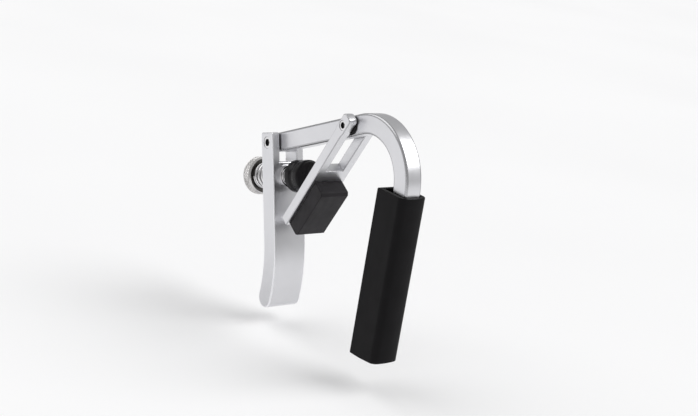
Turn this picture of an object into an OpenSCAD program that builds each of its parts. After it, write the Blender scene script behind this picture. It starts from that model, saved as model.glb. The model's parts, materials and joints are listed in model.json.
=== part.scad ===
// Lever-action neck capo for a fretted instrument: a bent steel bar with a rubber
// string sleeve, a hinged clamp arm with a neck pad, and an over-centre lever whose
// screw sets the clamping pressure. Millimetres.
// Origin: centre of the sleeve's string face. +X runs along the strings, +Y from the
// strings into the neck, +Z up the bar towards its bend.

/* [Neck bar] */
// Width of the bar along the strings
bar_w = 4.1; // [4.0:0.05:4.2]
// Thickness of the bar in the plane of its bend
bar_t = 4.35; // [4.2:0.05:4.4]
// Radius of the bend, to the bar's centreline
bend_r = 11.15; // [10.9:0.05:11.4]
// Angle that the bend turns through
bend_turn = 113; // [112:0.5:114]
// Height of the bend's centre above the origin
bend_z = 18.625; // [18.6:0.1:19.5]

/* [String sleeve] */
// Length of the rubber sleeve
sleeve_len = 36.95; // [34:0.05:37]
// Width of the sleeve's string face
sleeve_w = 7; // [6.9:0.1:7.6]
// Width of the sleeve where its front corners begin
sleeve_front_w = 6.75; // [6.65:0.05:6.9]
// Depth of the sleeve from string face to crown
sleeve_d = 8.3; // [8.2:0.05:8.8]
// Thickness of the sleeve's string wall
sleeve_wall = 1.05; // [0.8:0.05:1.3]

/* [Clamp arm] */
// Width of the clamp arm
arm_w = 8.68; // [8.4:0.02:9.2]
// Thickness of the clamp arm
arm_t = 2.4; // [2.2:0.05:2.6]
// Length of the arm below its pivot
arm_len = 31; // [29:0.5:31.5]
// Slope of the arm below the horizontal when it is clamped
arm_slope = 59.7; // [59.4:0.1:60.2]
// Distance from the arm's pivot to the foot of its window
window_len = 13.2; // [12:0.1:14]

/* [Neck pad] */
// Distance from the arm's pivot to the pad's upper end
pad_start = 16.4; // [15.5:0.1:17.5]
// Width of the pad
pad_w = 7.4; // [6.8:0.1:8.2]
// Height of the pad above the arm's face
pad_h = 3.9; // [3.2:0.1:4.1]

/* [Closing lever] */
// Width of the lever
lever_w = 8.5; // [8.2:0.05:9]
// Depth of the lever
lever_d = 4.7; // [4.5:0.05:4.8]
// Length of the lever's straight part below its pivot
lever_straight = 23; // [20:0.5:26]
// Lean of the closed lever from the vertical, towards the neck
lever_lean = 16.7; // [16.2:0.1:17]
// Angle that the lever's tail turns away from the neck
tail_turn = 24; // [10:1:30]
// Radius of the tail's curve, to its mid-line
tail_r = 32; // [28:1:40]
// Distance from the lever's pivot to the floor of its slot
lever_slot = 4.46; // [4.2:0.02:4.8]

/* [Pivots] */
// Distance from the bend's end to the arm's pivot
arm_pivot_at = 3.45; // [3.35:0.05:3.6]
// Distance from the bend's end to the lever's pivot
lever_pivot_at = 32.6; // [32.4:0.05:33]
// Diameter of the lever's pivot barrel
barrel_d = 2.3; // [2:0.1:2.3]
// Diameter of the heads at the lever's pivot
head_d = 2.7; // [2.6:0.1:2.9]
// Size of the arm's pivot as a share of the lever's
arm_pivot_scale = 0.82; // [0.78:0.01:0.86]
// Outer diameter of the pivot washers
washer_d = 4.3; // [4:0.1:4.4]
// Thickness of the pivot washers
washer_t = 0.22; // [0.15:0.01:0.25]

/* [Pressure adjuster] */
// Distance from the lever's pivot to the adjusting screw's axis
screw_drop = 7.8; // [7.7:0.05:7.9]
// Outer diameter of the adjusting screw
screw_d = 4.1; // [3.9:0.1:4.2]
// Diameter of the pressure cap
cap_d = 7.5; // [7.2:0.1:7.6]
// Length of the pressure cap
cap_len = 5.15; // [4.9:0.05:5.15]
// Gap between the lever's front face and the pressure cap
cap_gap = 3.4; // [3.1:0.1:3.4]
// Diameter of the knurled thumb knob
knob_d = 9; // [8.6:0.1:9.6]
// Thickness of the thumb knob
knob_t = 2.9; // [2.6:0.1:3.4]
// Gap between the lever's back face and the thumb knob
knob_gap = 5.2; // [5:0.1:5.6]
// Number of turns in the tension spring
spring_turns = 4.5; // [4:0.5:5.5]
// Diameter of the tension spring's wire
wire_d = 0.7; // [0.6:0.05:0.8]

/* [Hidden] */
$fn = 64;

// Clearances: side play beside a washer, running fit of a pin, fit within one body
side_gap = 0.03;
run_gap = 0.05;
seat_gap = 0.01;
over = 1;                                   // how far a cutter passes its target

// The bar's leg lies inside the sleeve, against its front wall
front_wall = 1.105;
leg_y = -sleeve_d + front_wall + bar_t / 2; // centreline of the leg
leg_bottom = -15.6;
bend_y = leg_y + bend_r;
run_slope = bend_turn - 90;                 // fall of the straight run
bend_end = [bend_y + bend_r * sin(run_slope), bend_z + bend_r * cos(run_slope)];
arm_pivot_rise = 0.2;                       // pivots stand a little above the mid-line
lever_pivot_rise = 0.1;

// A point of the straight run, as [Y, Z]: distance along it, and rise from mid-line
function on_run(along, rise) = [
    bend_end[0] + along * cos(run_slope) + rise * sin(run_slope),
    bend_end[1] - along * sin(run_slope) + rise * cos(run_slope)];
arm_pivot = on_run(arm_pivot_at, arm_pivot_rise);
lever_pivot = on_run(lever_pivot_at, lever_pivot_rise);

// Layers across each pivot, outwards from the bar's side
slot_w = bar_w + 2 * (side_gap + washer_t); // width of both forks' slots
barrel_r = barrel_d / 2;
head_t = 0.9;                               // thickness of a pivot's flush heads
head_sink = 0.1;                            // how deep the heads sit below the ears
shank_r = 0.6;                              // pivot screw's shank
hex_flats = 1.5;                            // pivot screw's hex socket
hex_deep = 0.6;

// Sleeve
corner_r = 1.6;                             // sleeve's rounded front corners
crown_r = 10.1;                             // sleeve's gently crowned front
socket_len = 7;                             // snug lower socket that grips the bar
end_wall = 2;                               // closed foot of the sleeve
cavity_back = 2.45;                         // cavity's half width by the string wall
cavity_front = 2.15;                        // and by the front wall

// Arm and lever
arm_top = 2.6;                              // arm above its pivot
arm_top_chamfer = 0.7;
arm_boss_t = 2.8;                           // arm's thickness round its pivot
arm_boss_len = 1.4;                         // boss below the pivot, before it tapers
key_w = 4;                                  // pad's key, in a groove of the arm
key_deep = 0.8;
pad_end_gap = 0.6;                          // arm's end beyond the pad
pad_bevel = 0.6;
lever_top = 2.3;                            // lever above its pivot
lever_top_chamfer = 0.35;

// Adjuster, in the lever's own frame: Y down the lever, Z away from the neck
front = -lever_d / 2;
back = lever_d / 2;
screw_r = screw_d / 2;
bush_r = 2.5;
flange_r = 2.75;
flange_t = 0.9;
nose_r = 1.4;                               // screw's nose inside the cap
ring_seat_r = 1.1;                          // groove for the snap ring
ring_r = 1.95;
ring_t = 0.4;
spigot_r = 1.5;                             // screw's end, pressed into the knob
cap_back = front - cap_gap;
cap_front = cap_back - cap_len;
cap_lip = 1.1;                              // cap's rear wall
cap_face = 1.2;                             // cap's front wall
cap_round = 0.6;
cap_waist = 0.25;
nose_end = cap_front + cap_face + 0.15;
ring_at = cap_back - cap_lip - 0.15 - ring_t;
knob_front = back + knob_gap;
recess_r = 3.95;                            // knob's hollow, where the spring seats
recess_deep = 0.7;
plate_t = 0.3;                              // spring washer
coil_r = 2.85;                              // spring's radius to the wire's middle
coil_from = back + plate_t + wire_d / 2 + seat_gap;
coil_to = knob_front + recess_deep - wire_d / 2 - seat_gap;
coil_steps = 20;                            // rings of the wire mesh in each turn
wire_sides = 8;

steel = [0.78, 0.78, 0.80];
bright = [0.86, 0.85, 0.84];
rubber = [0.08, 0.07, 0.09];
acetal = [0.12, 0.11, 0.13];
nylon = [0.10, 0.10, 0.11];

// ---- helpers ----

// Draws a [Y, Z] outline as a plate of width w across X
module across(w) rotate([90, 0, 90]) linear_extrude(w, center = true) children();

// A cylinder along X between two places
module pin(r, from, to) translate([from, 0, 0]) rotate([0, 90, 0]) cylinder(h = to - from, r = r);

module arm_frame() translate([0, arm_pivot[0], arm_pivot[1]]) rotate([-arm_slope, 0, 0]) children();
module lever_frame() translate([0, lever_pivot[0], lever_pivot[1]])
    rotate([-90 - lever_lean, 0, 0]) children();
module screw_frame() lever_frame() translate([0, screw_drop, 0]) children();

// Points on an arc, from one angle to another
function arc(c, r, from, to, n) = [for (i = [0:n]) let (a = from + (to - from) * i / n)
    [c[0] + r * cos(a), c[1] + r * sin(a)]];

// ---- neck bar and sleeve ----

// Side view of the bar: leg, bend, straight run and its round end
function bar_outline() = let (h = bar_t / 2, turned = 180 - bend_turn) concat(
    [[leg_y - h, leg_bottom]],
    arc([bend_y, bend_z], bend_r + h, 180, turned, 32),
    arc(on_run(lever_pivot_at, 0), h, turned, turned - 180, 16),
    arc([bend_y, bend_z], bend_r - h, turned, 180, 32),
    [[leg_y + h, leg_bottom]]);

module neck_bar() color(steel) difference() {
    across(bar_w) polygon(bar_outline());
    translate([0, arm_pivot[0], arm_pivot[1]])
        pin(barrel_r * arm_pivot_scale + run_gap, -bar_w, bar_w);
    translate([0, lever_pivot[0], lever_pivot[1]]) pin(barrel_r + run_gap, -bar_w, bar_w);
}

// D-shaped outline: flat string face on Y = 0, crowned front with rounded corners
function sleeve_outline() = let (
    cx = sleeve_front_w / 2 - corner_r,
    crown_y = crown_r - sleeve_d,
    reach = crown_r - corner_r,
    cy = crown_y - sqrt(reach * reach - cx * cx),
    tilt = asin(cx / reach)) concat(
    [[-sleeve_w / 2, 0], [sleeve_w / 2, 0]],
    arc([cx, cy], corner_r, 0, tilt - 90, 10),
    arc([0, crown_y], crown_r, tilt - 90, -tilt - 90, 8),
    arc([-cx, cy], corner_r, -tilt - 90, -180, 10));

module string_sleeve() color(rubber) difference() {
    translate([0, 0, -sleeve_len / 2]) linear_extrude(sleeve_len) polygon(sleeve_outline());
    // open upper cavity, with air between the bar and the string wall
    translate([0, 0, -sleeve_len / 2 + end_wall + socket_len]) linear_extrude(sleeve_len)
        polygon([for (p = [[cavity_back, -sleeve_wall],
                           [cavity_front, -sleeve_d + front_wall - seat_gap]],
                      s = [1, -1]) [s * p[0], p[1]]], [[0, 1, 3, 2]]);
    // snug socket round the bar's lower end
    translate([0, leg_y, -sleeve_len / 2 + end_wall]) linear_extrude(sleeve_len)
        square([bar_w + 2 * seat_gap, bar_t + 2 * seat_gap], center = true);
}

// ---- clamp arm ----

// Holes through both ears of a fork of width w, sunk for heads; k scales their radii
module ear_holes(w, k) {
    seat = w / 2 - head_t - head_sink;
    pin(barrel_r * k + seat_gap, -w, w);
    pin(head_d * k / 2 + seat_gap, -w, -seat);
    pin(head_d * k / 2 + seat_gap, seat, w);
}

// Side view of the arm in its own frame: Y down the arm, Z away from the neck
function arm_outline() = let (h = arm_t / 2, b = arm_boss_t / 2, c = arm_top_chamfer,
    half = [[-arm_top, b - c], [c - arm_top, b], [arm_boss_len, b], [arm_boss_len + 1, h], [arm_len, h]])
    concat(half, [for (i = [len(half) - 1:-1:0]) [half[i][0], -half[i][1]]]);

module clamp_arm() color(steel) arm_frame() difference() {
    across(arm_w) polygon(arm_outline());
    translate([-slot_w / 2, -arm_top - over, -arm_t])
        cube([slot_w, arm_top + over + window_len, 2 * arm_t]);
    ear_holes(arm_w, arm_pivot_scale);
    // groove that holds the pad's key
    translate([-key_w / 2, pad_start + 1, -arm_t / 2 - over])
        cube([key_w, arm_len - pad_end_gap - pad_start - 2, key_deep + over]);
}

module neck_pad() color(rubber) arm_frame() {
    pad_len = arm_len - pad_end_gap - pad_start;
    top = -arm_t / 2 - pad_h;
    pad_end = pad_start + pad_len;
    across(pad_w) polygon([
        [pad_start, -arm_t / 2], [pad_start, top + pad_bevel], [pad_start + pad_bevel, top],
        [pad_end - pad_bevel, top], [pad_end, top + pad_bevel], [pad_end, -arm_t / 2]]);
    translate([-key_w / 2 + seat_gap, pad_start + 1 + seat_gap, -arm_t / 2 - 0.2])
        cube([key_w - 2 * seat_gap, pad_len - 2 - 2 * seat_gap, key_deep + 0.2 - seat_gap]);
}

// ---- pivots: a barrel from the far side, closed by a socket screw ----
// Each takes its fork's width w and the scale k of its radii

module pivot_barrel(w, k) {
    inner = w / 2 - head_t - head_sink;
    difference() {
        union() {
            pin(barrel_r * k, -inner + seat_gap, inner + head_t / 2);
            pin(head_d * k / 2, inner + seat_gap, inner + head_t);
        }
        pin(shank_r * k + seat_gap, -w, inner - 0.5);
    }
}

module pivot_screw(w, k) {
    inner = w / 2 - head_t - head_sink;
    difference() {
        union() {
            pin(head_d * k / 2, -inner - head_t, -inner - seat_gap);
            pin(shank_r * k, -inner - head_t / 2, inner - 1.2);
        }
        translate([-inner - head_t - over, 0, 0]) rotate([0, 90, 0])
            cylinder(h = hex_deep + over, d = hex_flats * k / cos(30), $fn = 6);
    }
}

module pivot_washer(side, k) color(nylon) difference() {
    from = side > 0 ? slot_w / 2 - washer_t : -slot_w / 2;
    pin(washer_d / 2, from, from + washer_t);
    pin(barrel_r * k + seat_gap, -bar_w, bar_w);
}

module arm_pivot_barrel() color(bright) arm_frame() pivot_barrel(arm_w, arm_pivot_scale);
module arm_pivot_screw() color(bright) arm_frame() pivot_screw(arm_w, arm_pivot_scale);
module arm_washer_left() arm_frame() pivot_washer(-1, arm_pivot_scale);
module arm_washer_right() arm_frame() pivot_washer(1, arm_pivot_scale);
module lever_pivot_barrel() color(bright) lever_frame() pivot_barrel(lever_w, 1);
module lever_pivot_screw() color(bright) lever_frame() pivot_screw(lever_w, 1);
module lever_washer_left() lever_frame() pivot_washer(-1, 1);
module lever_washer_right() lever_frame() pivot_washer(1, 1);

// ---- closing lever ----

// Side view of the lever in its own frame: chamfered top, straight part, curved tail
function lever_outline() = let (
    c = lever_top_chamfer,
    tail = [lever_straight, tail_r],
    tip = [tail[0] + tail_r * sin(tail_turn), tail[1] - tail_r * cos(tail_turn)]) concat(
    [[c - lever_top, front], [-lever_top, front + c], [-lever_top, back - c], [c - lever_top, back]],
    arc(tail, tail_r + front, -90, tail_turn - 90, 10),
    arc(tip, lever_d / 2, tail_turn + 90, tail_turn - 90, 16),
    arc(tail, tail_r + back, tail_turn - 90, -90, 10));

module closing_lever() color(steel) lever_frame() difference() {
    across(lever_w) polygon(lever_outline());
    translate([-slot_w / 2, -lever_top - over, -lever_d])
        cube([slot_w, lever_top + over + lever_slot, 2 * lever_d]);
    ear_holes(lever_w, 1);
    translate([0, screw_drop, -lever_d]) cylinder(h = 2 * lever_d, r = bush_r + seat_gap);
}

// ---- pressure adjuster, along the screw's own axis ----

module ring(r_out, r_in, from, to) translate([0, 0, from]) difference() {
    cylinder(h = to - from, r = r_out);
    translate([0, 0, -over]) cylinder(h = to - from + 2 * over, r = r_in);
}

module screw_bush() color(bright) screw_frame() difference() {
    union() {
        translate([0, 0, front]) cylinder(h = lever_d, r = bush_r);
        translate([0, 0, front - flange_t]) cylinder(h = flange_t - seat_gap, r = flange_r);
        translate([0, 0, front - flange_t / 2]) cylinder(h = flange_t, r = bush_r);
    }
    translate([0, 0, -lever_d]) cylinder(h = 2 * lever_d, r = screw_r + run_gap);
}

module adjusting_screw() color(bright) screw_frame() rotate_extrude() polygon([
    [0, nose_end], [nose_r - 0.3, nose_end], [nose_r, nose_end + 0.3],
    [nose_r, ring_at - run_gap], [ring_seat_r, ring_at - run_gap],
    [ring_seat_r, ring_at + ring_t + run_gap], [nose_r, ring_at + ring_t + run_gap],
    [nose_r, cap_back + 0.1], [screw_r - 0.3, cap_back + 0.1], [screw_r, cap_back + 0.4],
    [screw_r, knob_front + recess_deep - seat_gap], [spigot_r, knob_front + recess_deep - seat_gap],
    [spigot_r, knob_front + knob_t - 0.2], [spigot_r - 0.2, knob_front + knob_t], [0, knob_front + knob_t]]);

module thumb_knob() color(bright) screw_frame() difference() {
    rotate_extrude() polygon([
        [0, knob_front], [knob_d / 2 - 0.35, knob_front], [knob_d / 2, knob_front + 0.35],
        [knob_d / 2, knob_front + knob_t - 0.45], [knob_d / 2 - 0.45, knob_front + knob_t],
        [0, knob_front + knob_t]]);
    translate([0, 0, knob_front - over]) cylinder(h = recess_deep + over, r = recess_r);
    translate([0, 0, knob_front]) cylinder(h = knob_t + over, r = spigot_r + seat_gap);
    ring_groove();
}

// Shallow turned groove in the knob's outer face
module ring_groove() ring(3.2, 2.4, knob_front + knob_t - 0.25, knob_front + knob_t + over);

// The wire's centre at a share of the way along the coil; both ends lie flat
function coil_angle(u) = 360 * spring_turns * u;
function coil_height(u) = let (flat = 0.75 / spring_turns,
    v = max(0, min(1, (u - flat) / (1 - 2 * flat))))
    coil_from + wire_d * 0.55 * (min(u, flat) / flat) +
    (coil_to - coil_from - wire_d * 1.1) * v +
    wire_d * 0.55 * (max(u, 1 - flat) - 1 + flat) / flat;

module tension_spring() color(bright) screw_frame() {
    rings = round(spring_turns * coil_steps);
    points = [for (i = [0:rings], j = [0:wire_sides - 1]) let (u = i / rings,
        a = coil_angle(u), b = 360 * j / wire_sides, r = coil_r + wire_d / 2 * cos(b))
        [r * cos(a), r * sin(a), coil_height(u) + wire_d / 2 * sin(b)]];
    sides = [for (i = [0:rings - 1], j = [0:wire_sides - 1])
        let (k = (j + 1) % wire_sides, a = i * wire_sides, b = a + wire_sides)
        each [[a + j, b + j, b + k], [a + j, b + k, a + k]]];
    last = rings * wire_sides;
    polyhedron(points, concat(sides, [[for (j = [0:wire_sides - 1]) j]],
        [[for (j = [wire_sides - 1:-1:0]) last + j]]));
}

module spring_washer() color(steel) screw_frame()
    ring(3.5, screw_r + run_gap, back + seat_gap, back + plate_t);

module cap_snap_ring() color(bright) screw_frame()
    ring(ring_r, ring_seat_r + seat_gap, ring_at, ring_at + ring_t);

module pressure_cap() color(acetal) screw_frame() difference() {
    r = cap_d / 2;
    rotate_extrude() polygon(concat(
        [[0, cap_back], [r - 0.3, cap_back], [r, cap_back - 0.3],
         [r, cap_back - 1.6], [r - cap_waist, cap_back - 2.3], [r - cap_waist, cap_back - 2.7],
         [r, cap_back - 3.4]],
        arc([r - cap_round, cap_front + cap_round], cap_round, 0, -90, 8),
        [[0, cap_front]]));
    translate([0, 0, cap_back - cap_lip - over]) cylinder(h = cap_lip + 2 * over, r = nose_r + run_gap);
    translate([0, 0, cap_front + cap_face])
        cylinder(h = cap_len - cap_face - cap_lip, r = ring_r + 0.15);
}

neck_bar();
string_sleeve();
clamp_arm();
neck_pad();
arm_pivot_barrel();
arm_pivot_screw();
arm_washer_left();
arm_washer_right();
closing_lever();
lever_pivot_barrel();
lever_pivot_screw();
lever_washer_left();
lever_washer_right();
screw_bush();
adjusting_screw();
thumb_knob();
tension_spring();
spring_washer();
cap_snap_ring();
pressure_cap();
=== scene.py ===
"""Lever capo: the looks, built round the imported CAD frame.

Pieces are drawn in millimetres in a local frame, then settled into the row frame in metres.
"""

import json
import math

import bmesh
import bpy
import numpy as np
from mathutils import Matrix, Vector


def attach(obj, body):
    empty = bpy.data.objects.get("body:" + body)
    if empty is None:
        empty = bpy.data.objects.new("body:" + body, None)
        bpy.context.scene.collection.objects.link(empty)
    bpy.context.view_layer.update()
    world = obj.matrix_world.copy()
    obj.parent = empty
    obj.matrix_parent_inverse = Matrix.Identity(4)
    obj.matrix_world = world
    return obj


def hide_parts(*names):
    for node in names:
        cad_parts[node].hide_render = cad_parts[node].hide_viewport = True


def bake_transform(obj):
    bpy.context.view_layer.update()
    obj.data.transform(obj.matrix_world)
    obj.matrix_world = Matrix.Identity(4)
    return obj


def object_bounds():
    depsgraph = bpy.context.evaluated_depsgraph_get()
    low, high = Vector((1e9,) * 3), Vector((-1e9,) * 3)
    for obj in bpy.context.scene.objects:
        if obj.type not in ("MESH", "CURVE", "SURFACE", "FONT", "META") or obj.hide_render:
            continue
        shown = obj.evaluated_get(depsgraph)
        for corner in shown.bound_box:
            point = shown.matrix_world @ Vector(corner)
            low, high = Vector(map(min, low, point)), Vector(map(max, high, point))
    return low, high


MM = 0.001
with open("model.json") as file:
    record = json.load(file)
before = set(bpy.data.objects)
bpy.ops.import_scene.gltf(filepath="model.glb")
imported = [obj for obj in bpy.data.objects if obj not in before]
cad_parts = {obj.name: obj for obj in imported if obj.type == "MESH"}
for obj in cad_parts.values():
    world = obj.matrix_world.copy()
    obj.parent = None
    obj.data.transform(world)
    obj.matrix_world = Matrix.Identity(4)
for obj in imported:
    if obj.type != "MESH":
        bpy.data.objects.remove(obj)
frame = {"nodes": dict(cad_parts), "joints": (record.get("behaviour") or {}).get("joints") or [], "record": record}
CAD_BOX = [list(corner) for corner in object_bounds()]
JOINTS = {joint["name"]: joint for joint in frame["joints"]}
MOUNTS = {mount["name"]: mount for mount in frame["record"]["mounts"]}
COLLECTION = bpy.context.scene.collection


# ---- places ----

def place(origin, away):
    """A local frame: X across the capo, Z along away, and Y down the part."""
    x = Vector((1, 0, 0))
    z = Vector(away).normalized()
    y = z.cross(x)
    matrix = Matrix((x, y, z)).transposed().to_4x4()
    matrix.translation = Vector(origin)
    return matrix


def away_from_neck(name):
    """A mount on the neck side faces the neck, so away from it is against its axis."""
    return [-a for a in MOUNTS[name]["axis"]]


ROW = Matrix.Identity(4)
ARM = place(JOINTS["arm_hinge"]["pos_m"], away_from_neck("pad_face"))
LEVER = place(JOINTS["lever_hinge"]["pos_m"], JOINTS["cap_slide"]["axis"])
SCREW = place(JOINTS["screw_spin"]["pos_m"], JOINTS["cap_slide"]["axis"])
ACROSS = Matrix.Rotation(math.radians(90), 4, "Y")      # turns a lathe's Z onto X


def span(node, where=ROW):
    """Lowest and highest corner of a CAD node in a local frame, in millimetres."""
    inverse = where.inverted()
    points = np.array([inverse @ v.co for v in frame["nodes"][node].data.vertices]) / MM
    return points.min(0), points.max(0)


# ---- driving sizes, in millimetres, where the frame doesn't give them ----

BAR_T = 4.35
BEND_R = 11.15
BEND_TURN = 113
BAR_EDGE = 0.5
SLEEVE_FRONT_W = 6.75
SLEEVE_CORNER_R = 1.6
SLEEVE_CROWN_R = 10.1
SLEEVE_RIM = 0.95
ARM_T = 2.4
ARM_WINDOW = 13.2
LEVER_SLOT = 4.46
LEVER_STRAIGHT = 23
TAIL_R = 32
TAIL_TURN = 24
THREAD_PITCH = 0.794
THREAD_DEPTH = 0.38
SPRING_TURNS = 4.5
WIRE_D = 0.7
KNURLS = 38
KNURL_DEPTH = 0.26
HEX_FLATS = 1.5
HEAD_T = 0.9                                # a pivot head's thickness
HEAD_R = 1.35                               # the lever pivot's head, which sets the scale of both
SHANK_R = 0.6
BARREL_SHARE = 2.3 / 2.7                    # a barrel's diameter over its head's
RECESS_R = 3.95                             # the knob's hollow inner face
RECESS_DEEP = 0.7
SPIGOT_R = 1.5                              # the screw's end, inside the knob
NOSE_R = 1.4                                # the screw's nose, inside the cap
RING_SEAT_R = 1.1                           # the snap ring's groove in the nose


# ---- mesh code ----

def arc(centre, radius, start, end, steps):
    """Points on an arc, from one angle to another in degrees."""
    angles = [math.radians(start + (end - start) * i / steps) for i in range(steps + 1)]
    return [(centre[0] + radius * math.cos(a), centre[1] + radius * math.sin(a)) for a in angles]


def new_object(name, mesh):
    obj = bpy.data.objects.new(name, mesh)
    COLLECTION.objects.link(obj)
    return obj


def from_bmesh(name, bm):
    bmesh.ops.remove_doubles(bm, verts=bm.verts, dist=1e-5)
    bmesh.ops.recalc_face_normals(bm, faces=bm.faces)
    mesh = bpy.data.meshes.new(name)
    bm.to_mesh(mesh)
    bm.free()
    return new_object(name, mesh)


def loft(name, rings, cap_start=True, cap_end=True, closed=False):
    """A skin over rings of points. closed joins the last ring to the first."""
    bm = bmesh.new()
    rows = [[bm.verts.new(p) for p in ring] for ring in rings]
    pairs = list(zip(rows, rows[1:]))
    if closed:
        pairs.append((rows[-1], rows[0]))
    for a, b in pairs:
        for i in range(len(a)):
            j = (i + 1) % len(a)
            bm.faces.new((a[i], a[j], b[j], b[i]))
    if not closed and cap_start:
        bm.faces.new(rows[0])
    if not closed and cap_end:
        bm.faces.new(rows[-1])
    return from_bmesh(name, bm)


def lathe(name, profile, steps=72, closed=False):
    """A profile of (radius, height) turned about Z. A closed profile makes a ring."""
    rings = []
    for radius, height in profile:
        angles = [2 * math.pi * i / steps for i in range(steps)]
        rings.append([(radius * math.cos(a), radius * math.sin(a), height) for a in angles])
    return loft(name, rings, closed=closed)


def washer(name, r_out, r_in, low, high, edge=0.05):
    """A flat ring with small edge bevels."""
    profile = [(r_in, low + edge), (r_in + edge, low), (r_out - edge, low), (r_out, low + edge),
               (r_out, high - edge), (r_out - edge, high), (r_in + edge, high), (r_in, high - edge)]
    return lathe(name, profile, closed=True)


def plate(name, outline, width):
    """A [Y, Z] outline drawn as a plate across X."""
    bm = bmesh.new()
    sides = [[bm.verts.new((x, y, z)) for y, z in outline] for x in (-width / 2, width / 2)]
    bm.faces.new(sides[0])
    bm.faces.new(list(reversed(sides[1])))
    for i in range(len(outline)):
        j = (i + 1) % len(outline)
        bm.faces.new((sides[0][i], sides[0][j], sides[1][j], sides[1][i]))
    return from_bmesh(name, bm)


def block(name, low, high):
    """A box between two corners, used to cut others."""
    outline = [(low[1], low[2]), (high[1], low[2]), (high[1], high[2]), (low[1], high[2])]
    obj = plate(name, outline, high[0] - low[0])
    obj.data.transform(Matrix.Translation(((high[0] + low[0]) / 2, 0, 0)))
    return obj


def rod(name, radius, low, high, where=ROW, steps=48):
    """A plain cylinder along local Z, used to cut others."""
    obj = lathe(name, [(radius, low), (radius, high)], steps)
    obj.data.transform(where)
    return obj


def bake_modifiers(obj):
    """Applies every modifier to the mesh."""
    graph = bpy.context.evaluated_depsgraph_get()
    mesh = bpy.data.meshes.new_from_object(obj.evaluated_get(graph))
    obj.modifiers.clear()
    old, obj.data = obj.data, mesh
    bpy.data.meshes.remove(old)


def cut(obj, *cutters):
    """Takes the cutters out of obj, and deletes them."""
    for cutter in cutters:
        modifier = obj.modifiers.new("cut", "BOOLEAN")
        modifier.operation = "DIFFERENCE"
        modifier.solver = "EXACT"
        modifier.object = cutter
        bake_modifiers(obj)
        bpy.data.objects.remove(cutter)


def bevel(obj, width, segments=3, angle=40):
    """Rounds the sharp edges. The rounded faces take the second of two empty slots."""
    for _ in range(2):
        obj.data.materials.append(None)
    modifier = obj.modifiers.new("bevel", "BEVEL")
    modifier.width = width
    modifier.segments = segments
    modifier.limit_method = "ANGLE"
    modifier.angle_limit = math.radians(angle)
    modifier.use_clamp_overlap = True
    # The rounded faces get their own slot: the bar and arm fill it with a painted dark reflection, the lever with
    # a painted highlight.
    modifier.material = 1
    bake_modifiers(obj)


def smooth(obj, angle=32):
    """Smooth shading up to an angle, with normals that keep large faces flat."""
    obj.data.shade_smooth()
    obj.data.set_sharp_from_angle(angle=math.radians(angle))
    modifier = obj.modifiers.new("normals", "WEIGHTED_NORMAL")
    modifier.keep_sharp = True
    bake_modifiers(obj)


def settle(obj, body, node, where=ROW, materials=(), angle=32):
    """Puts a piece in place, on its body, in its CAD node's stead, with its finish."""
    slots = obj.data.materials
    for index, material in enumerate(materials):
        if index < len(slots):
            slots[index] = material
        else:
            slots.append(material)
    smooth(obj, angle)
    obj.data.transform(where @ Matrix.Scale(MM, 4))
    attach(obj, body)
    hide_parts(node)
    return obj


# ---- materials ----

def new_material(name):
    material = bpy.data.materials.new(name)
    material.use_nodes = True
    tree = material.node_tree
    return material, tree, tree.nodes["Principled BSDF"]


def noise(tree, scale, detail=3.0, stretch=(1, 1, 1)):
    """Noise in the piece's own space; scale is in features a metre."""
    coordinates = tree.nodes.new("ShaderNodeTexCoord")
    mapping = tree.nodes.new("ShaderNodeMapping")
    mapping.inputs["Scale"].default_value = stretch
    texture = tree.nodes.new("ShaderNodeTexNoise")
    texture.inputs["Scale"].default_value = scale
    texture.inputs["Detail"].default_value = detail
    tree.links.new(coordinates.outputs["Object"], mapping.inputs["Vector"])
    tree.links.new(mapping.outputs["Vector"], texture.inputs["Vector"])
    return texture.outputs["Fac"]


def ramp(tree, value, low, high, start=0.35, end=0.65):
    """A colour ramp between two colours."""
    node = tree.nodes.new("ShaderNodeValToRGB")
    node.color_ramp.elements[0].position = start
    node.color_ramp.elements[1].position = end
    node.color_ramp.elements[0].color = (*low, 1)
    node.color_ramp.elements[1].color = (*high, 1)
    tree.links.new(value, node.inputs["Fac"])
    return node.outputs["Color"]


def between(tree, value, low, high):
    """A number from low to high as value goes from 0.3 to 0.7."""
    node = tree.nodes.new("ShaderNodeMapRange")
    node.inputs["From Min"].default_value = 0.3
    node.inputs["From Max"].default_value = 0.7
    node.inputs["To Min"].default_value = low
    node.inputs["To Max"].default_value = high
    tree.links.new(value, node.inputs["Value"])
    return node.outputs["Result"]


def bump(tree, value, strength, depth_mm, normal=None):
    node = tree.nodes.new("ShaderNodeBump")
    node.inputs["Strength"].default_value = strength
    node.inputs["Distance"].default_value = depth_mm * MM
    tree.links.new(value, node.inputs["Height"])
    if normal is not None:
        tree.links.new(normal, node.inputs["Normal"])
    return node.outputs["Normal"]


def steel(name, tone, rough, grain_strength=0.25, warm=0.0):
    """Steel with a fine grain, cloudy tone and varied roughness."""
    material, tree, shader = new_material(name)
    light = (tone * (1 + warm), tone, tone * (1.03 - 2 * warm))
    dark = tuple(c * 0.965 for c in light)
    clouds = noise(tree, 160, 4)
    fine = noise(tree, 5200, 3)
    tree.links.new(ramp(tree, clouds, dark, light), shader.inputs["Base Color"])
    tree.links.new(between(tree, noise(tree, 900, 4), rough - 0.02, rough + 0.03),
                   shader.inputs["Roughness"])
    scratches = bump(tree, noise(tree, 1400, 2, (1, 12, 12)), grain_strength * 0.2, 0.006)
    tree.links.new(bump(tree, fine, grain_strength * 0.5, 0.008, scratches), shader.inputs["Normal"])
    shader.inputs["Metallic"].default_value = 1.0
    return material


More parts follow.
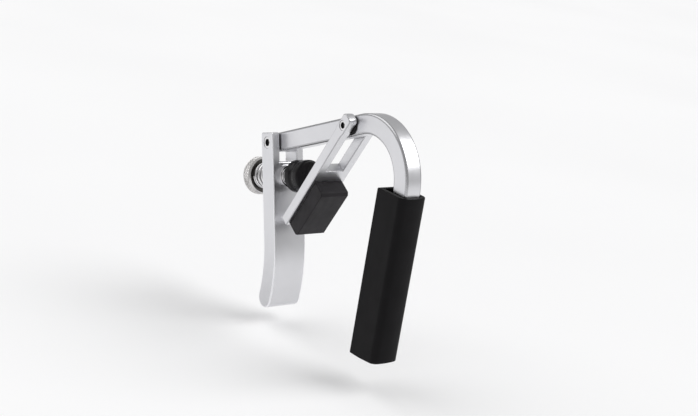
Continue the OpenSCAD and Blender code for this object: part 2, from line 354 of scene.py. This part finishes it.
def rubber(name, tone, rough, gloss=0.15):
    """Black rubber or plastic with a fine moulded grain and faint handling marks."""
    material, tree, shader = new_material(name)
    dark = (tone, tone * 0.9, tone * 1.05)
    light = tuple(c * 1.45 for c in dark)
    tree.links.new(ramp(tree, noise(tree, 260, 5), dark, light), shader.inputs["Base Color"])
    tree.links.new(between(tree, noise(tree, 700, 5, (1, 1, 0.3)), rough - 0.05, rough + 0.07),
                   shader.inputs["Roughness"])
    coarse = bump(tree, noise(tree, 900, 2), 0.12, 0.03)
    tree.links.new(bump(tree, noise(tree, 7000, 2), 0.25, 0.012, coarse), shader.inputs["Normal"])
    shader.inputs["Specular IOR Level"].default_value = gloss
    return material


SATIN = steel("satin_steel", 0.75, 0.32, 0.25)
# Bevel faces of bar and arm: steel painted darker, a painted dark reflection along the rounded edges.
SATIN_EDGE_DARK_REFLECTION = steel("satin_steel_edge_painted_reflection", 0.50, 0.28, 0.2)
# Bevel faces of the lever: steel painted lighter, a painted highlight along its rounded edges.
LEVER_EDGE_HIGHLIGHT = steel("lever_edge_painted_highlight", 0.90, 0.24, 0.2)
BRIGHT = steel("bright_steel", 0.78, 0.14, 0.08, 0.01)
# Socket faces of the pivot screws: near-black steel, painted shadow inside the hex sockets.
SOCKET_SHADOW = steel("socket_shadow", 0.09, 0.45, 0.2, 0.02)
KNURLED = steel("knurled_steel", 0.66, 0.27, 0.2, 0.02)
# Hollow inner face of the knob: near-black steel with a warm tint, painted shade in the recess with a painted warm
# reflection.
KNOB_RECESS_SHADE = steel("knob_recess_painted_shade", 0.12, 0.38, 0.25, 0.05)
RUBBER = rubber("black_rubber", 0.0042, 0.40, 0.10)
PAD_RUBBER = rubber("pad_rubber", 0.014, 0.50, 0.20)
ACETAL = rubber("black_acetal", 0.006, 0.28, 0.16)
NYLON = rubber("black_nylon", 0.008, 0.45, 0.15)


# ---- bar and sleeve ----

BAR_LOW, BAR_HIGH = span("neck_bar")
LEG_Y = BAR_LOW[1] + BAR_T / 2
BEND = (LEG_Y + BEND_R, BAR_HIGH[2] - BEND_R - BAR_T / 2)
BEND_END = 180 - BEND_TURN                  # the bend's last angle, in degrees


def pivot_on_midline(joint):
    """The pivot's place, dropped onto the straight run's mid-line, in [Y, Z]."""
    angle = math.radians(BEND_END)
    outward = Vector((math.cos(angle), math.sin(angle)))
    start = Vector(BEND) + BEND_R * outward
    point = Vector(JOINTS[joint]["pos_m"][1:]) / MM
    return point - outward * (point - start).dot(outward)


def pivot_radius(node, where):
    """Outer radius of a pivot barrel's shank, with its running clearance in the bar."""
    low, high = span(node, where)
    return (high[2] - low[2]) / 2 * BARREL_SHARE + 0.05


def make_bar():
    half = BAR_T / 2
    end = pivot_on_midline("lever_hinge")
    outline = [(LEG_Y - half, BAR_LOW[2])]
    outline += arc(BEND, BEND_R + half, 180, BEND_END, 72)
    outline += arc(end, half, BEND_END, BEND_END - 180, 32)
    outline += arc(BEND, BEND_R - half, BEND_END, 180, 72)
    outline += [(LEG_Y + half, BAR_LOW[2])]
    width = BAR_HIGH[0] - BAR_LOW[0]
    bar = plate("bar", outline, width)
    bevel(bar, BAR_EDGE, 5)
    for joint, node, where in (("arm_hinge", "arm_pivot_barrel", ARM),
                               ("lever_hinge", "lever_pivot_barrel", LEVER)):
        hole = rod("hole", pivot_radius(node, where), -width, width, ACROSS)
        hole.data.transform(Matrix.Translation(Vector(JOINTS[joint]["pos_m"]) / MM))
        cut(bar, hole)
    # the bar's bevel faces take the painted dark reflection
    settle(bar, "bar", "neck_bar", materials=(SATIN, SATIN_EDGE_DARK_REFLECTION))


def sleeve_outline(width, depth, inset=0.0):
    """D-shaped outline, string face on Y = 0, drawn in from the outer skin by inset."""
    corner_x = SLEEVE_FRONT_W / 2 - SLEEVE_CORNER_R
    crown_y = SLEEVE_CROWN_R - depth
    reach = SLEEVE_CROWN_R - SLEEVE_CORNER_R
    corner_y = crown_y - math.sqrt(reach ** 2 - corner_x ** 2)
    tilt = math.degrees(math.asin(corner_x / reach))
    radius = SLEEVE_CORNER_R - inset
    side = [(width / 2 - inset, -inset), (width / 2 - inset - 0.03, -inset - 0.12)]
    side += [(width / 2 - inset - 0.03 + t * (SLEEVE_FRONT_W - width) / 2,
              -inset - 0.12 + t * (corner_y + inset)) for t in (0.25, 0.5, 0.75)]
    half = side + arc((corner_x, corner_y), radius, 0, tilt - 90, 12)
    half += arc((0, crown_y), SLEEVE_CROWN_R - inset, tilt - 90, -90, 6)[1:]
    other = [(-x, y) for x, y in reversed(half[:-1])]
    back = [(x * (width / 2 - inset) / 4, -inset) for x in (-3, -2, -1, 0, 1, 2, 3)]
    return half + other + back


def make_sleeve():
    """Hollow sleeve: rounded rims, an open cavity above, and a front cut back at the foot."""
    low, high = span("string_sleeve")
    width, depth = high[0] - low[0], high[1] - low[1]
    front_cut = 0.75
    bar_socket = high[2] - 26

    def ring(inset, z, foot=0.0):
        return [(x, y, z + foot * (y / depth) ** 2) for x, y in sleeve_outline(width, depth, inset)]

    rim = 0.14
    rings = [ring(0.9, low[2], front_cut), ring(rim * 1.6, low[2], front_cut),
             ring(rim * 0.5, low[2] + rim * 0.5, front_cut),
             ring(0, low[2] + rim * 1.6, front_cut), ring(0, low[2] + 3, front_cut * 0.4)]
    rings += [ring(0, low[2] + (high[2] - low[2]) * t) for t in (0.15, 0.3, 0.45, 0.6, 0.75, 0.9)]
    rings += [ring(0, high[2] - rim * 1.3), ring(rim * 0.4, high[2] - rim * 0.4), ring(rim * 1.3, high[2]),
              ring(SLEEVE_RIM - rim, high[2]), ring(SLEEVE_RIM, high[2] - rim), ring(SLEEVE_RIM, bar_socket)]
    sleeve = loft("sleeve", rings)
    settle(sleeve, "bar", "string_sleeve", materials=(RUBBER,), angle=50)


# ---- clamp arm and pad ----

def ear_seats(where, barrel):
    """The holes through a fork's ears: the barrel's hole, and one seat for each flush head."""
    low, high = span(barrel, where)
    head = (high[2] - low[2]) / 2
    seat = high[0] - HEAD_T
    hole = rod("hole", head * BARREL_SHARE + 0.01, -2 * seat, 2 * seat, ACROSS)
    near = rod("near", head + 0.01, -2 * seat, -seat, ACROSS)
    far = rod("far", head + 0.01, seat, 2 * seat, ACROSS)
    return hole, near, far


def slot_width():
    return 2 * span("arm_washer_right", ARM)[1][0]


def make_arm():
    low, high = span("clamp_arm", ARM)
    half, boss = ARM_T / 2, high[2]
    chamfer = 0.7
    back = [(low[1], boss - chamfer), (low[1] + 0.25, boss - 0.25), (low[1] + chamfer, boss),
            (1.4, boss), (2.4, half), (high[1], half)]
    outline = back + [(y, -z) for y, z in reversed(back)]
    arm = plate("arm", outline, high[0] - low[0])
    slot = slot_width() / 2
    cut(arm, block("window", (-slot, low[1] - 1, -4), (slot, ARM_WINDOW, 4)))
    bevel(arm, 0.2, 3, 35)
    cut(arm, *ear_seats(ARM, "arm_pivot_barrel"))
    # the arm's bevel faces take the painted dark reflection
    settle(arm, "arm", "clamp_arm", ARM, (SATIN, SATIN_EDGE_DARK_REFLECTION))


def make_pad():
    """Moulded pad with a bevelled front and rounded ends."""
    low, high = span("neck_pad", ARM)
    face = -ARM_T / 2
    top, round_ = low[2], 0.6
    outline = [(low[1], face), (low[1], top + round_), (low[1] + round_, top),
               (high[1] - round_, top), (high[1], top + round_), (high[1], face)]
    pad = plate("pad", outline, high[0] - low[0])
    bevel(pad, 0.16, 3, 30)
    settle(pad, "arm", "neck_pad", ARM, (PAD_RUBBER, PAD_RUBBER))


# ---- closing lever ----

def make_lever():
    low, high = span("closing_lever", LEVER)
    half = 2.35
    chamfer = 0.35
    tail = (LEVER_STRAIGHT, TAIL_R)
    angle = math.radians(TAIL_TURN)
    tip = (tail[0] + TAIL_R * math.sin(angle), tail[1] - TAIL_R * math.cos(angle))
    outline = [(low[1] + chamfer, -half), (low[1], chamfer - half),
               (low[1], half - chamfer), (low[1] + chamfer, half)]
    outline += arc(tail, TAIL_R - half, -90, TAIL_TURN - 90, 20)
    outline += arc(tip, half, TAIL_TURN + 90, TAIL_TURN - 90, 24)[1:]
    outline += arc(tail, TAIL_R + half, TAIL_TURN - 90, -90, 20)[1:]
    lever = plate("lever", outline, high[0] - low[0])
    slot = slot_width() / 2
    cut(lever, block("slot", (-slot, low[1] - 1, -4), (slot, LEVER_SLOT, 4)))
    bevel(lever, 0.3, 4, 50)
    drop = (SCREW.inverted() @ LEVER).translation.y / MM
    bush = rod("bush", span("screw_bush", SCREW)[1][0] - 0.24, -6, 6)
    bush.data.transform(Matrix.Translation((0, -drop, 0)))
    cut(lever, *ear_seats(LEVER, "lever_pivot_barrel"), bush)
    # the lever's bevel faces take the painted highlight
    settle(lever, "lever", "closing_lever", LEVER, (SATIN, LEVER_EDGE_HIGHLIGHT))


# ---- pivots ----

def hexagon(flats, steps):
    """Radius of a hexagon in each of the given number of directions."""
    inner = flats / 2
    directions = [2 * math.pi * i / steps for i in range(steps)]
    return [inner / math.cos((a % (math.pi / 3)) - math.pi / 6) for a in directions]


def socket_screw(name, head, head_t, shank, length, flats):
    """A flush socket screw along Z: head face at 0, shank towards +Z."""
    steps = 60
    hexes = hexagon(flats, steps)

    def ring(radii, z):
        return [(r * math.cos(2 * math.pi * i / steps), r * math.sin(2 * math.pi * i / steps), z)
                for i, r in enumerate(radii)]

    edge = 0.12
    rings = [ring([0.02] * steps, 0.85), ring([r * 0.96 for r in hexes], 0.6), ring(hexes, 0.08),
             ring([r + 0.06 for r in hexes], 0.0), ring([head - edge] * steps, 0.0),
             ring([head - edge * 0.3] * steps, edge * 0.3),
             ring([head] * steps, edge), ring([head] * steps, head_t), ring([shank] * steps, head_t),
             ring([shank] * steps, length - 0.15), ring([shank - 0.12] * steps, length)]
    obj = loft(name, rings)
    # the socket's faces take the painted shadow
    for face in obj.data.polygons:
        z = face.center.z
        if math.hypot(face.center.x, face.center.y) < flats * 0.56 and 0.02 < z < 0.9:
            face.material_index = 1
    return obj


def make_pivot(label, where, body):
    barrel_low, barrel_high = span(label + "_pivot_barrel", where)
    screw_low, screw_high = span(label + "_pivot_screw", where)
    head = (barrel_high[2] - barrel_low[2]) / 2
    share = head / HEAD_R
    shank = share * SHANK_R
    length = screw_high[0] - screw_low[0]
    screw = socket_screw(label + "_screw", head, HEAD_T - 0.01, shank, length, share * HEX_FLATS)
    screw.data.transform(Matrix.Translation((screw_low[0], 0, 0)) @ ACROSS)
    settle(screw, body, label + "_pivot_screw", where, (BRIGHT, SOCKET_SHADOW), 40)

    barrel_r = head * BARREL_SHARE
    inner = barrel_high[0] - HEAD_T
    bore = shank + 0.01
    profile = [(bore, inner - 0.5), (bore, barrel_low[0]), (barrel_r - 0.05, barrel_low[0]),
               (barrel_r, barrel_low[0] + 0.05), (barrel_r, inner), (head, inner),
               (head, barrel_high[0] - 0.12),
               (head - 0.04, barrel_high[0] - 0.04), (head - 0.12, barrel_high[0]), (0.25, barrel_high[0]),
               (0.2, barrel_high[0] - 0.12)]
    barrel = lathe(label + "_barrel", profile, 60)
    barrel.data.transform(ACROSS)
    settle(barrel, body, label + "_pivot_barrel", where, (BRIGHT,), 40)

    for side in ("left", "right"):
        node = f"{label}_washer_{side}"
        low, high = span(node, where)
        ring = washer(f"{label}_washer_{side}_piece", high[2], barrel_r + 0.01, low[0], high[0], 0.04)
        ring.data.transform(ACROSS)
        settle(ring, body, node, where, (NYLON,))


# ---- pressure adjuster ----

def make_bush():
    low, high = span("screw_bush", SCREW)
    flange, body_r = high[0], high[0] - 0.25
    bore = span("adjusting_screw", SCREW)[1][0] + 0.05
    front = low[2]
    flange_back = front + 0.88
    profile = [(bore, front + 0.15), (bore + 0.15, front), (flange - 0.2, front),
               (flange - 0.06, front + 0.06), (flange, front + 0.2), (flange, flange_back),
               (body_r, flange_back), (body_r, high[2]), (bore, high[2])]
    bush = lathe("bush", profile, closed=True)
    settle(bush, "lever", "screw_bush", SCREW, (BRIGHT,))


def thread_radius(z, angle, outer):
    """Radius of a V thread with flat crests and sharp roots."""
    phase = (z / THREAD_PITCH - angle / (2 * math.pi)) % 1.0
    tooth = min(1.0, abs(2 * phase - 1) * 1.15)
    return outer - THREAD_DEPTH * (1 - tooth)


def make_screw():
    """Nose, ring groove and thread as one lofted skin."""
    low, high = span("adjusting_screw", SCREW)
    outer = high[0]
    nose_end, tail_end = low[2], high[2]
    shoulder = span("pressure_cap", SCREW)[1][2] + 0.1
    spigot = span("thumb_knob", SCREW)[0][2] + RECESS_DEEP
    ring_low, ring_high = (corner[2] for corner in span("cap_snap_ring", SCREW))
    steps = 48
    angles = [2 * math.pi * i / steps for i in range(steps)]

    def ring(radius, z):
        return [(radius * math.cos(a), radius * math.sin(a), z) for a in angles]

    rings = [ring(NOSE_R - 0.3, nose_end), ring(NOSE_R, nose_end + 0.3),
             ring(NOSE_R, ring_low - 0.05), ring(RING_SEAT_R, ring_low - 0.05),
             ring(RING_SEAT_R, ring_high + 0.05), ring(NOSE_R, ring_high + 0.05),
             ring(NOSE_R, shoulder)]
    rows = int((spigot - shoulder) / THREAD_PITCH * 10)
    for row in range(rows + 1):
        z = shoulder + (spigot - shoulder) * row / rows
        taper = min(1.0, (z - shoulder) / 0.4 + 0.75, (spigot - z) / 0.4 + 0.75)
        rings.append([(thread_radius(z, a, outer) * taper * math.cos(a),
                       thread_radius(z, a, outer) * taper * math.sin(a), z) for a in angles])
    rings += [ring(SPIGOT_R, spigot), ring(SPIGOT_R, tail_end - 0.2),
              ring(SPIGOT_R - 0.15, tail_end - 0.05)]
    screw = loft("screw", rings)
    settle(screw, "screw", "adjusting_screw", SCREW, (BRIGHT,), 60)


def make_knob():
    """Knob with a diamond-knurled rim, a hollow inner face and a turned outer face."""
    low, high = span("thumb_knob", SCREW)
    radius, front, back = high[0], low[2], high[2]
    steps = KNURLS * 6
    angles = [2 * math.pi * i / steps for i in range(steps)]

    def ring(r, z):
        return [(r * math.cos(a), r * math.sin(a), z) for a in angles]

    def triangle(x):
        return abs(2 * (x % 1.0) - 1)

    def knurl_ring(z, share):
        """A row of the knurl; its depth fades out at the chamfers."""
        row = []
        for a in angles:
            u = a * KNURLS / (2 * math.pi)
            v = z / (2 * math.pi * radius / KNURLS)
            groove = max(triangle(u + v), triangle(u - v))
            r = radius - KNURL_DEPTH * share * groove ** 2
            row.append((r * math.cos(a), r * math.sin(a), z))
        return row

    floor = front + RECESS_DEEP
    bore = SPIGOT_R + 0.02
    rings = [ring(bore, floor), ring(RECESS_R - 0.08, floor), ring(RECESS_R, floor - 0.08),
             ring(RECESS_R, front + 0.08), ring(RECESS_R + 0.08, front), ring(radius - 0.38, front)]
    rows = 18
    z0, z1 = front + 0.32, back - 0.42
    rings += [knurl_ring(z0 + (z1 - z0) * i / rows, min(1, i / 2, (rows - i) / 2))
              for i in range(rows + 1)]
    turned = back - 0.22                    # the bottom of the turned groove
    rings += [ring(radius - 0.42, back), ring(3.25, back), ring(3.17, turned), ring(2.43, turned),
              ring(2.35, back), ring(bore + 0.1, back), ring(bore, back - 0.1)]
    knob = loft("knob", rings, closed=True)
    # the recess faces take the painted shade
    for face in knob.data.polygons:
        inward = math.hypot(face.center.x, face.center.y) < RECESS_R + 0.05
        if inward and face.center.z < floor + 0.05:
            face.material_index = 1
    settle(knob, "screw", "thumb_knob", SCREW, (KNURLED, KNOB_RECESS_SHADE), 28)


def make_spring():
    """Helical spring with closed, ground ends."""
    low, high = span("tension_spring", SCREW)
    wire = WIRE_D / 2
    radius = high[0] - wire
    start, end = low[2] + wire, high[2] - wire
    flat = 0.75 / SPRING_TURNS
    rings = []
    steps = int(SPRING_TURNS * 40)
    for i in range(steps + 1):
        u = i / steps
        a = 2 * math.pi * SPRING_TURNS * u
        rise = min(1, max(0, (u - flat) / (1 - 2 * flat)))
        z = start + WIRE_D * 0.55 * min(u, flat) / flat
        z += (end - start - WIRE_D * 1.1) * rise
        z += WIRE_D * 0.55 * (max(u, 1 - flat) - 1 + flat) / flat
        ring = []
        for k in range(16):
            b = 2 * math.pi * k / 16
            r = radius + wire * math.cos(b)
            height = min(max(z + wire * math.sin(b), low[2]), high[2])
            ring.append((r * math.cos(a), r * math.sin(a), height))
        rings.append(ring)
    spring = loft("spring", rings)
    spring.data.materials.append(BRIGHT)
    smooth(spring, 60)
    spring.data.transform(SCREW @ Matrix.Scale(MM, 4))
    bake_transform(spring)
    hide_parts("tension_spring")


def make_cap():
    """Waisted cap: crisp rear rim, shallow waist, rounded front."""
    low, high = span("pressure_cap", SCREW)
    radius, back, front = high[0], high[2], low[2]
    hole, hollow = 1.45, 2.1
    waist = 0.25
    profile = [(radius - 0.3, back), (radius - 0.09, back - 0.09), (radius, back - 0.3),
               (radius, back - 1.5)]
    profile += [(radius - waist * math.sin(math.pi * t) ** 1.2, back - 1.5 - 2.0 * t)
                for t in (0.15, 0.3, 0.5, 0.7, 0.85, 1.0)]
    profile += arc((radius - 0.6, front + 0.6), 0.6, 0, -90, 8)
    profile += [(1.2, front), (0.9, front + 0.12), (0.05, front + 0.12)]
    cap = lathe("cap", profile)
    lip = back - 1.1                        # the rear wall's inner face
    cut(cap, lathe("hollow", [(hole, back + 1), (hole, lip), (hollow, lip), (hollow, front + 1.2)]))
    settle(cap, "cap", "pressure_cap", SCREW, (ACETAL,), 25)


def make_small_rings():
    low, high = span("spring_washer", SCREW)
    bore = span("adjusting_screw", SCREW)[1][0] + 0.05
    ring = washer("thrust_washer", high[0], bore, low[2], high[2])
    settle(ring, "lever", "spring_washer", SCREW, (SATIN,))
    low, high = span("cap_snap_ring", SCREW)
    ring = washer("snap_ring", high[0], 1.12, low[2], high[2])
    settle(ring, "screw", "cap_snap_ring", SCREW, (BRIGHT,))


# ---- stage, lights and camera ----

def make_floor():
    floor_z = CAD_BOX[0][2] - 0.004
    size = 25.0
    base_z = floor_z - 0.01
    outline = [(-size, base_z), (size, base_z), (size, floor_z), (-size, floor_z)]
    obj = plate("floor", outline, 2 * size)
    material, tree, shader = new_material("floor_white")
    tone = ramp(tree, noise(tree, 6, 2), (0.94, 0.94, 0.945), (0.96, 0.96, 0.965))
    tree.links.new(tone, shader.inputs["Base Color"])
    shader.inputs["Roughness"].default_value = 0.9
    shader.inputs["Specular IOR Level"].default_value = 0.1
    obj.data.materials.append(material)


def sun(name, towards, strength, spread):
    """A soft far light. towards points from the object to the light; spread is in degrees."""
    data = bpy.data.lights.new(name, "SUN")
    data.energy = strength
    data.angle = math.radians(spread)
    obj = bpy.data.objects.new(name, data)
    COLLECTION.objects.link(obj)
    obj.rotation_euler = Vector(towards).to_track_quat("Z", "Y").to_euler()


def make_lights():
    world = bpy.data.worlds.new("studio")
    world.use_nodes = True
    background = world.node_tree.nodes["Background"]
    background.inputs["Color"].default_value = (1.0, 1.0, 1.0, 1)
    background.inputs["Strength"].default_value = 0.46
    bpy.context.scene.world = world
    sun("key", (0.55, -0.45, 0.75), 1.35, 40)
    sun("back", (-0.35, 0.55, 0.80), 0.95, 60)


def make_camera():
    """The camera of the reference view: place, three axes and lens."""
    data = bpy.data.cameras.new("camera")
    data.sensor_width = 36.0
    data.lens = 61.194
    data.clip_start = 0.01
    data.clip_end = 100.0
    camera = bpy.data.objects.new("camera", data)
    COLLECTION.objects.link(camera)
    azimuth, elevation, roll = (math.radians(a) for a in (39.0275, -16.4752, 9.3361))
    forward = Vector((math.sin(azimuth) * math.cos(elevation), math.cos(azimuth) * math.cos(elevation),
                      math.sin(elevation)))
    level = forward.cross(Vector((0, 0, 1))).normalized()
    upright = level.cross(forward)
    right = math.cos(roll) * level + math.sin(roll) * upright
    up = math.cos(roll) * upright - math.sin(roll) * level
    matrix = Matrix((right, up, -forward)).transposed().to_4x4()
    matrix.translation = Vector((-0.1543333, -0.1779819, 0.0821182))
    camera.matrix_world = matrix
    bpy.context.scene.camera = camera


make_camera()
make_lights()
make_floor()
make_bar()
make_sleeve()
make_arm()
make_pad()
make_lever()
make_pivot("arm", ARM, "arm")
make_pivot("lever", LEVER, "lever")
make_bush()
make_screw()
make_knob()
make_spring()
make_cap()
make_small_rings()
bpy.context.scene.view_settings.view_transform = "Standard"
